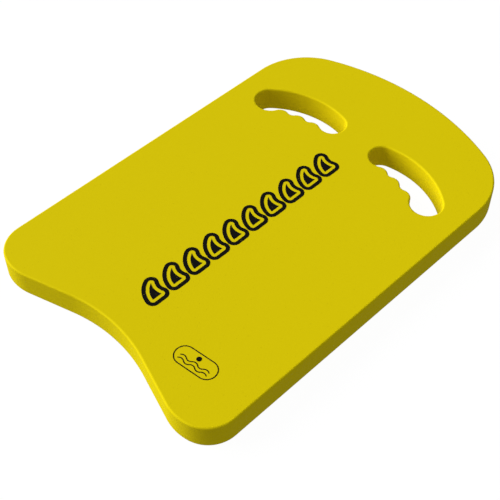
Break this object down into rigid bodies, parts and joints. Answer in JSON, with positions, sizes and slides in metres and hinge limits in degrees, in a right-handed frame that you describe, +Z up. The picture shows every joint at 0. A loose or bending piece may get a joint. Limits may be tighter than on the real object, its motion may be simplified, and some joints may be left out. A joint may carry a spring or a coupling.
{
  "type": "bodyboard",
  "caption": "Flat closed-cell foam bodyboard, kickboard sized, with a rounded nose, a notched tail, scalloped hand slots and a printed deck.",
  "frame": {"origin": "centre of the underside's bounding box, on the face that the board rests on", "axes": "+Y to the nose, +Z up out of the printed deck, +X to the board's right seen from above"},
  "size_m": [0.302, 0.457, 0.0281],
  "materials": {
    "foam": "yellow closed-cell EVA foam, matte with a fine skin of pores",
    "ink": "near-black flexible screen-printing ink, satin"
  },
  "bodies": {
    "root": {"bottom_layer": "foam", "core_layer": "foam", "deck_layer": "foam", "crest_print_01": "ink", "crest_print_02": "ink", "crest_print_03": "ink", "crest_print_04": "ink", "crest_print_05": "ink", "crest_print_06": "ink", "crest_print_07": "ink", "crest_print_08": "ink", "crest_print_09": "ink", "crest_print_10": "ink", "badge_border_print": "ink", "badge_ripple_print": "ink", "badge_sun_print": "ink"}
  },
  "joints": []
}
